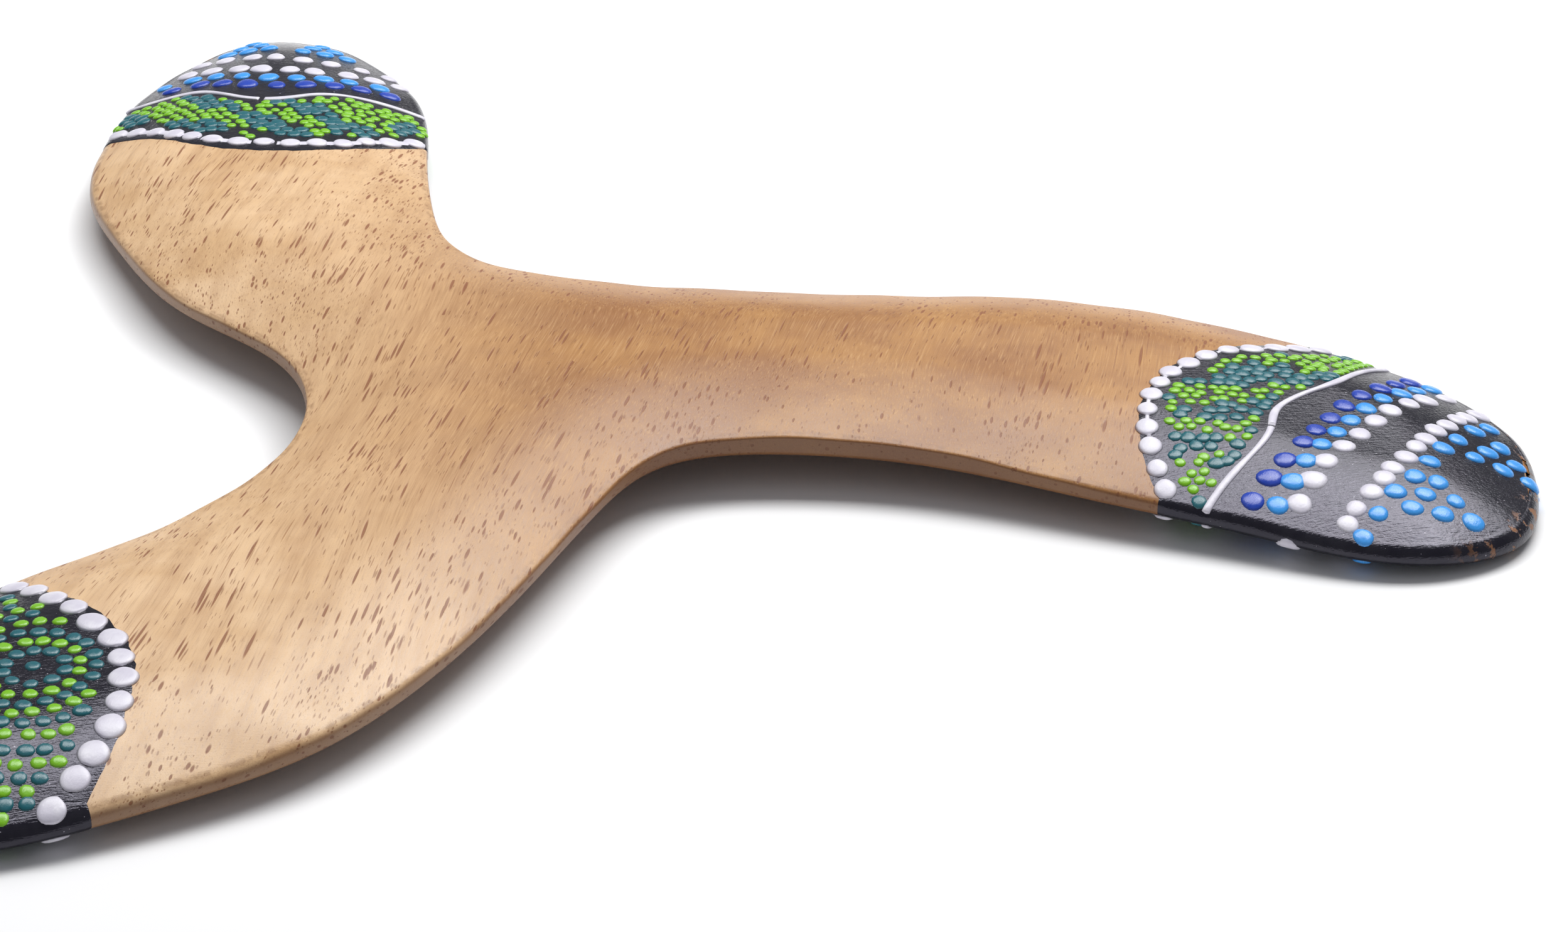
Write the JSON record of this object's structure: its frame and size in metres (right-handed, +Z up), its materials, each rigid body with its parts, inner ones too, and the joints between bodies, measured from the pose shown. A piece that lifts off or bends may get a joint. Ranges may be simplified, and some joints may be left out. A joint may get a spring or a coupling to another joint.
{
  "type": "three-bladed boomerang",
  "caption": "Carved wooden boomerang with swept blades joined at a hub, a flat underside, a crowned top and black tips with raised dot painting.",
  "frame": {"origin": "centre of the hub, on the flat underside", "axes": "+Z up out of the crowned top, +X along one blade, the other blades 120 degrees to each side"},
  "size_m": [0.2549, 0.2681, 0.0133],
  "materials": {
    "wood": "satin varnish over open-pored wood",
    "black_paint": "semi-gloss brushed paint",
    "white_paint": "raised satin paint",
    "green_paint": "raised gloss paint",
    "teal_paint": "raised gloss paint",
    "royal_blue_paint": "raised gloss paint",
    "sky_blue_paint": "raised gloss paint"
  },
  "bodies": {
    "root": {"carved_board": "wood", "black_coat_right": "black_paint", "black_coat_front": "black_paint", "black_coat_rear": "black_paint", "white_beads_right_top": "white_paint", "white_beads_right_under": "white_paint", "white_beads_front_top": "white_paint", "white_beads_front_under": "white_paint", "white_beads_rear_top": "white_paint", "white_beads_rear_under": "white_paint", "white_wave_right_top": "white_paint", "white_wave_right_under": "white_paint", "white_wave_front_top": "white_paint", "white_wave_front_under": "white_paint", "white_wave_rear_top": "white_paint", "white_wave_rear_under": "white_paint"}
  },
  "joints": []
}
